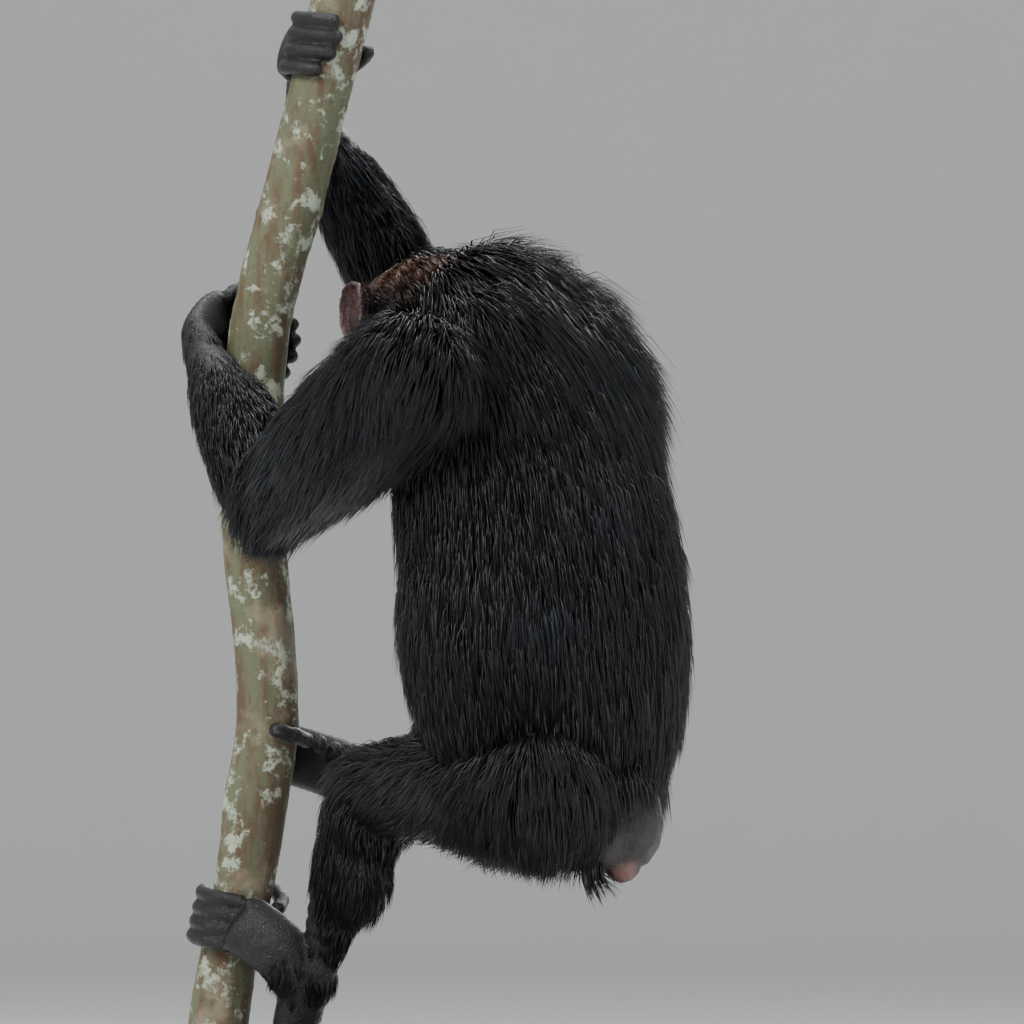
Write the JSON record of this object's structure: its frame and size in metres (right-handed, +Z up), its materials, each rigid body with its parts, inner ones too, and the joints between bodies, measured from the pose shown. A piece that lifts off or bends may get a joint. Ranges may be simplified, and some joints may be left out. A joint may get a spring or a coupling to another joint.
{
  "type": "chimpanzee figure",
  "caption": "Life-size still model of an adult chimpanzee clinging with hands and feet to a cut length of slanting sapling, on a flat display stand.",
  "frame": {"origin": "centre of the underside of the stand's base", "axes": "+Z up; the animal's back and left side look towards -Y, which is the side the picture shows; it faces towards -X and +Y, to the sapling"},
  "size_m": [0.64, 0.7, 1.262],
  "materials": {
    "coat_black": "matte",
    "face_skin": "satin",
    "ear_skin": "satin",
    "rump_skin": "satin",
    "hand_skin": "satin",
    "eye": "gloss",
    "bark": "matte",
    "stand": "satin"
  },
  "bodies": {
    "root": {"stand_base": "stand", "stand_collar": "stand", "stand_rod": "stand", "perch_trunk": "bark", "torso": "coat_black", "neck": "coat_black", "upper_arm_left": "coat_black", "upper_arm_right": "coat_black", "forearm_left": "coat_black", "forearm_right": "coat_black", "thigh_left": "coat_black", "thigh_right": "coat_black", "shank_left": "coat_black", "shank_right": "coat_black", "rump_skin": "rump_skin", "head": "face_skin", "eye_left": "eye", "eye_right": "eye", "ear_left": "ear_skin", "ear_right": "ear_skin", "hand_left": "hand_skin", "hand_right": "hand_skin", "foot_left": "hand_skin", "foot_right": "hand_skin"}
  },
  "joints": []
}
